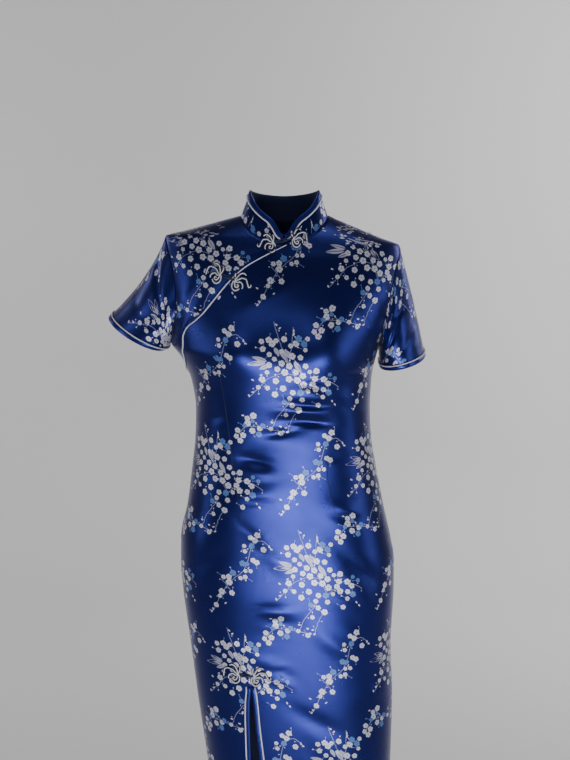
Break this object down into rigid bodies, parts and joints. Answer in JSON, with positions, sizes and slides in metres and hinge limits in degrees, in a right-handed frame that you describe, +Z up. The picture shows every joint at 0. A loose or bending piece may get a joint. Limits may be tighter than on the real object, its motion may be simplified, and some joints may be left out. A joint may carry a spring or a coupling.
{
  "type": "cheongsam_dress",
  "caption": "Fitted brocade cheongsam dress with a stand collar, short sleeves, slanting side opening, frog fastenings and a front walking slit",
  "frame": {"origin": "Midway between the two side neck points, where the shoulder seams meet the stand collar: the place from which the worn dress hangs.", "axes": "+Z is up, towards the collar; -Y is the front of the dress; +X is the wearer's left."},
  "size_m": [0.5384, 0.235, 1.2922],
  "materials": {
    "brocade": "satin",
    "binding": "satin",
    "piping_white": "matte"
  },
  "bodies": {
    "root": {"back": "brocade", "collar": "brocade", "collar_binding": "binding", "collar_piping": "piping_white", "frog_neck_knot": "binding", "frog_neck_knot_scroll": "piping_white", "frog_neck_loop": "binding", "frog_neck_loop_scroll": "piping_white", "frog_shoulder_knot": "binding", "frog_shoulder_knot_scroll": "piping_white", "frog_shoulder_loop": "binding", "frog_shoulder_loop_scroll": "piping_white", "frog_slit_knot": "binding", "frog_slit_knot_scroll": "piping_white", "frog_slit_loop": "binding", "frog_slit_loop_scroll": "piping_white", "front": "brocade", "front_under": "brocade", "placket_binding": "binding", "placket_piping": "piping_white", "sleeve_binding_left": "binding", "sleeve_binding_right": "binding", "sleeve_left": "brocade", "sleeve_piping_left": "piping_white", "sleeve_piping_right": "piping_white", "sleeve_right": "brocade", "slit_binding_left": "binding", "slit_binding_right": "binding", "slit_piping_left": "piping_white", "slit_piping_right": "piping_white"}
  },
  "joints": []
}
